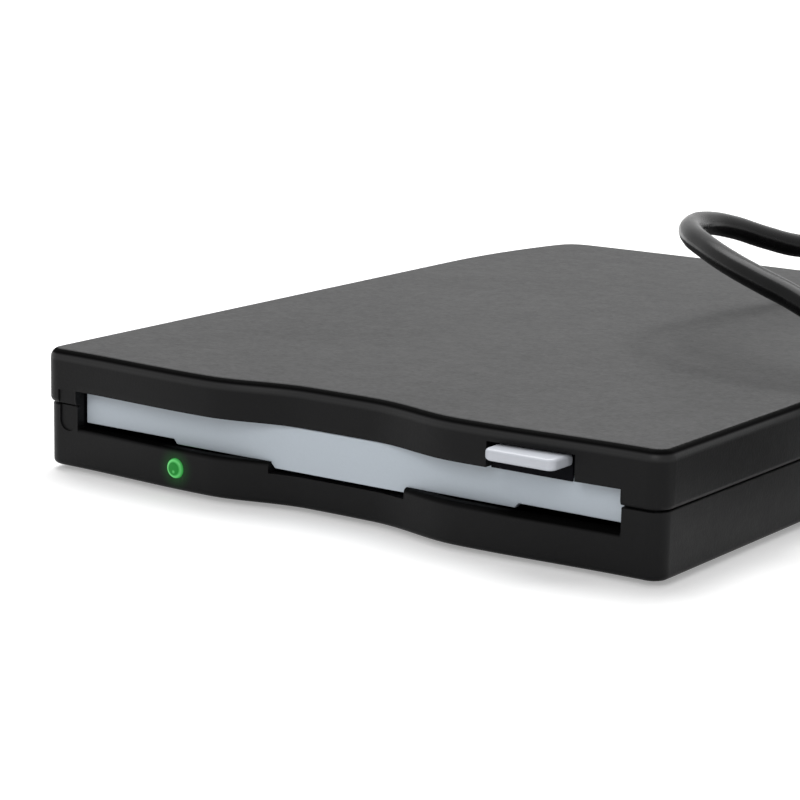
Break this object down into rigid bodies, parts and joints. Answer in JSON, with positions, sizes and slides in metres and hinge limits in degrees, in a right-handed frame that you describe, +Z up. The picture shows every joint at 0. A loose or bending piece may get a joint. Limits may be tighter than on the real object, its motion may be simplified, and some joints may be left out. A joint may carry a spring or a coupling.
{
  "type": "external floppy disk drive",
  "caption": "Slim external floppy disk drive: black casing with a wavy front, grey slot flap, eject button, green lamp and a coiled cord with a flat plug.",
  "frame": {"origin": "middle of the drive's footprint, cord and strain relief left out, at the underside of its rubber feet", "axes": "+Z up, +Y from the slot towards the rear where the cord leaves, +X to the right seen from the front"},
  "size_m": [0.166, 0.1919, 0.0352],
  "materials": {
    "casing_black": "fine-grained moulded plastic, satin matte",
    "base_black": "moulded plastic, satin",
    "bezel_black": "moulded plastic, matt",
    "flap_grey": "fine-grained moulded plastic, light grey",
    "button_grey": "fine-grained moulded plastic, pale grey",
    "sheet_steel": "zinc-coated pressed sheet",
    "bright_steel": "ground and polished steel",
    "spring_steel": "drawn spring wire",
    "bronze": "sintered bearing metal",
    "board_green": "solder-masked circuit board",
    "chip_black": "moulded chip cases",
    "film_white": "flat cable film",
    "lead_red": "insulated wires",
    "lamp_green": "tinted lamp body, lit green",
    "carriage_grey": "glass-filled plastic",
    "head_ceramic": "ground ceramic",
    "foot_rubber": "matt rubber",
    "cord_black": "satin vinyl",
    "tongue_white": "moulded tongue with plated contacts",
    "screw_steel": "plated screw steel"
  },
  "bodies": {
    "drive_body": {"top_cover": "casing_black", "bottom_cover": "base_black", "front_bezel": "bezel_black", "flap_spring": "spring_steel", "eject_springs": "spring_steel", "chassis": "sheet_steel", "module_shield": "sheet_steel", "motor_board": "board_green", "spindle_bush": "bronze", "guide_rod": "bright_steel", "stepper_motor": "sheet_steel", "controller_board": "board_green", "controller_chips": "chip_black", "ribbon_cable": "film_white", "usb_board": "board_green", "usb_chips": "chip_black", "inner_leads": "lead_red", "lamp": "lamp_green", "rubber_feet": "foot_rubber", "case_screws": "screw_steel", "module_screws": "screw_steel", "strain_relief": "cord_black", "cord_lead": "cord_black", "cord_coil": "cord_black", "cord_tail": "cord_black", "coil_tie": "base_black", "plug_grip": "cord_black", "plug_shell": "bright_steel", "plug_tongue": "tongue_white"},
    "flap": {"dust_flap": "flap_grey"},
    "eject": {"eject_button": "button_grey", "slide_plate": "sheet_steel"},
    "holder": {"disk_holder": "sheet_steel"},
    "lever": {"shutter_lever": "sheet_steel"},
    "carriage": {"head_carriage": "carriage_grey", "lower_head": "head_ceramic"},
    "screw": {"lead_screw": "bright_steel"},
    "upper_arm": {"upper_head_arm": "sheet_steel", "upper_head": "head_ceramic"},
    "spindle": {"spindle_rotor": "bright_steel"}
  },
  "joints": [
    {"name": "flap_hinge", "type": "hinge", "parent": "drive_body", "child": "flap", "pos_m": [0, -0.06495, 0.013], "axis": [1, 0, 0], "range_deg": [0, 90], "stiffness_Nm_per_rad": 0.0002, "springref_deg": -17.19},
    {"name": "eject_slide", "type": "slide", "parent": "drive_body", "child": "eject", "axis": [0, 1, 0], "range_m": [-0.003, 0]},
    {"name": "holder_lift", "type": "slide", "parent": "drive_body", "child": "holder", "axis": [0, 0, 1], "range_m": [-0.0015, 0]},
    {"name": "shutter_swing", "type": "hinge", "parent": "holder", "child": "lever", "pos_m": [-0.036, 0.02595, 0.0126], "axis": [0, 0, 1], "range_deg": [0, 38], "stiffness_Nm_per_rad": 0.001, "springref_deg": -11.46},
    {"name": "head_slide", "type": "slide", "parent": "drive_body", "child": "carriage", "axis": [0, 1, 0], "range_m": [-0.0148, 0]},
    {"name": "screw_turn", "type": "hinge", "parent": "drive_body", "child": "screw", "pos_m": [0.017, 0.03845, 0.0089], "axis": [0, 1, 0], "range_deg": [-1421, 0]},
    {"name": "arm_tilt", "type": "hinge", "parent": "carriage", "child": "upper_arm", "pos_m": [0, 0.05245, 0.0126], "axis": [1, 0, 0], "range_deg": [0, 5.8]},
    {"name": "spindle_turn", "type": "hinge", "parent": "drive_body", "child": "spindle", "pos_m": [0, -0.01755, 0.0048], "axis": [0, 0, 1], "continuous": true}
  ],
  "couplings": [
    {"joint": "holder_lift", "follows": "eject_slide", "ratio": 0.5},
    {"joint": "arm_tilt", "follows": "eject_slide", "rad_per_m": -33.7},
    {"joint": "screw_turn", "follows": "head_slide", "rad_per_m": 1675.5}
  ]
}
